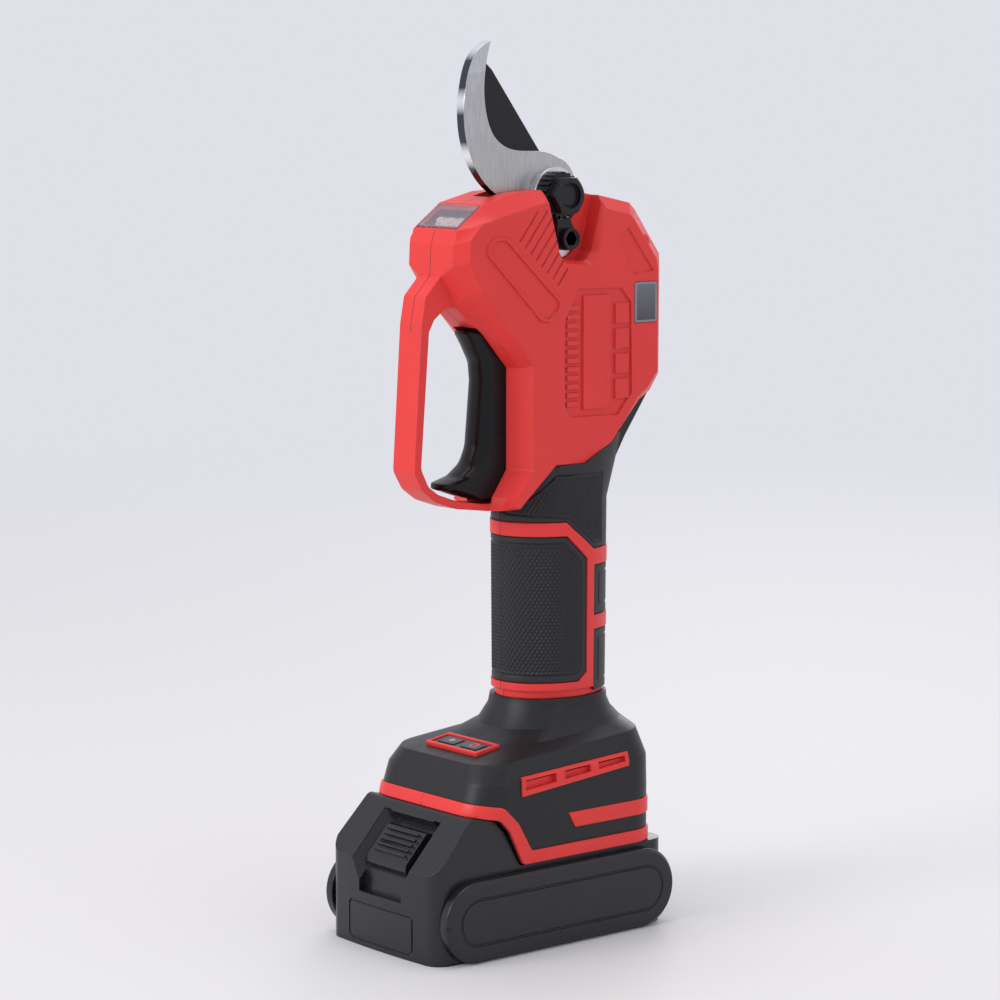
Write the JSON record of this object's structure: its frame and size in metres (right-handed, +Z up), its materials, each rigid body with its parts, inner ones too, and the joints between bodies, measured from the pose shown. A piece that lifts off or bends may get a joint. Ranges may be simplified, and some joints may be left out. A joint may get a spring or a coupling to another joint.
{
  "type": "battery electric pruner",
  "caption": "Hand-held battery pruner: hook blade and moving blade on a two-shell head with guard and trigger, oval grip, slide-on battery foot.",
  "frame": {"origin": "middle of the battery's flat underside, where the tool stands", "axes": "+Z up through grip and blades, -X the front with finger guard and trigger, +Y the side away from the blade nut"},
  "size_m": [0.1281, 0.076, 0.3386],
  "materials": {
    "red_shell": "fine textured satin moulding",
    "red_trim": "smooth satin",
    "grip_rubber": "matte, diamond knurled",
    "foot_plastic": "fine textured moulding",
    "pack_plastic": "satin moulding",
    "trigger_plastic": "satin",
    "key_plastic": "smooth",
    "clear_lens": "clear polycarbonate",
    "display_glass": "smoked window",
    "led": "clear epoxy over phosphor",
    "blade_steel": "ground along the blade",
    "blade_coated": "matte non-stick coating",
    "black_oxide": "blackened steel, semi-gloss",
    "bright_steel": "turned",
    "frame_alloy": "sheet, tumbled",
    "circuit": "printed board",
    "contact_brass": "stamped",
    "cell_wrap": "shrink sleeve",
    "holder_plastic": "plain",
    "lead_cover": "smooth sleeve"
  },
  "bodies": {
    "housing": {"left_housing": "red_shell", "right_housing": "red_shell", "housing_screws": "black_oxide", "left_collar": "grip_rubber", "right_collar": "grip_rubber", "left_grip_pad": "grip_rubber", "right_grip_pad": "grip_rubber", "back_pads": "grip_rubber", "left_foot": "foot_plastic", "right_foot": "foot_plastic", "left_foot_trim": "red_trim", "right_foot_trim": "red_trim", "left_vent_frame": "red_trim", "right_vent_frame": "red_trim", "keypad_frame": "red_trim", "keypad_plate": "key_plastic", "keypad_board": "circuit", "battery_dock": "foot_plastic", "dock_blades": "contact_brass", "lamp_lens": "clear_lens", "led_board": "circuit", "led_chips": "led", "display_window": "display_glass", "display_module": "circuit", "fixed_blade": "blade_steel", "blade_frame": "frame_alloy", "frame_spacers": "bright_steel", "frame_screws": "black_oxide", "pivot_bolt": "black_oxide", "pivot_washer": "bright_steel", "pivot_nut": "black_oxide", "lock_plate": "black_oxide", "lock_spacer": "bright_steel", "lock_screw": "black_oxide", "screw_bearing": "bright_steel", "gearbox": "frame_alloy", "motor": "bright_steel", "power_leads": "lead_cover", "controller_board": "circuit", "trigger_pin": "bright_steel", "trigger_switch": "key_plastic", "trigger_spring": "bright_steel"},
    "battery": {"battery_lower_case": "pack_plastic", "battery_upper_case": "pack_plastic", "left_pack_panel": "pack_plastic", "right_pack_panel": "pack_plastic", "battery_cells": "cell_wrap", "cell_holders": "holder_plastic", "cell_straps": "bright_steel", "battery_board": "circuit", "battery_clips": "contact_brass", "latch_spring": "bright_steel"},
    "moving_blade": {"moving_blade": "blade_coated"},
    "drive_screw": {"drive_screw": "bright_steel"},
    "drive_nut": {"drive_nut": "frame_alloy", "drive_pin": "bright_steel"},
    "trigger": {"trigger": "trigger_plastic"},
    "power_button": {"power_button": "key_plastic"},
    "mode_button": {"mode_button": "key_plastic"},
    "battery_latch": {"battery_latch": "pack_plastic"}
  },
  "joints": [
    {"name": "blade_pivot", "type": "hinge", "parent": "housing", "child": "moving_blade", "pos_m": [0.0225, 0, 0.281], "axis": [0, 1, 0], "range_deg": [0, 35]},
    {"name": "nut_slide", "type": "slide", "parent": "housing", "child": "drive_nut", "axis": [-0.1044, 0, -0.9945], "range_m": [0, 0.0125]},
    {"name": "screw_spin", "type": "hinge", "parent": "housing", "child": "drive_screw", "pos_m": [0.0376, 0.002, 0.27], "axis": [-0.1044, 0, -0.9945], "range_deg": [0, 1101]},
    {"name": "trigger_pull", "type": "hinge", "parent": "housing", "child": "trigger", "pos_m": [-0.005, 0, 0.2285], "axis": [0, -1, 0], "range_deg": [0, 5.5], "stiffness_Nm_per_rad": 0.6, "springref_deg": -6.88, "deforming": ["trigger_spring"]},
    {"name": "power_press", "type": "slide", "parent": "housing", "child": "power_button", "axis": [0.1508, 0, -0.9886], "range_m": [0, 0.0006], "stiffness_N_per_m": 500, "springref_m": -0.0006},
    {"name": "mode_press", "type": "slide", "parent": "housing", "child": "mode_button", "axis": [0.1508, 0, -0.9886], "range_m": [0, 0.0006], "stiffness_N_per_m": 500, "springref_m": -0.0006},
    {"name": "battery_slide", "type": "slide", "parent": "housing", "child": "battery", "axis": [-1, 0, 0], "range_m": [0, 0.085]},
    {"name": "latch_press", "type": "slide", "parent": "battery", "child": "battery_latch", "axis": [-0.6799, 0, -0.7333], "range_m": [0, 0.003], "stiffness_N_per_m": 500, "springref_m": -0.002, "deforming": ["latch_spring"]}
  ],
  "couplings": [
    {"joint": "nut_slide", "follows": "blade_pivot", "m_per_rad": 0.02},
    {"joint": "screw_spin", "follows": "blade_pivot", "ratio": 31.416}
  ]
}
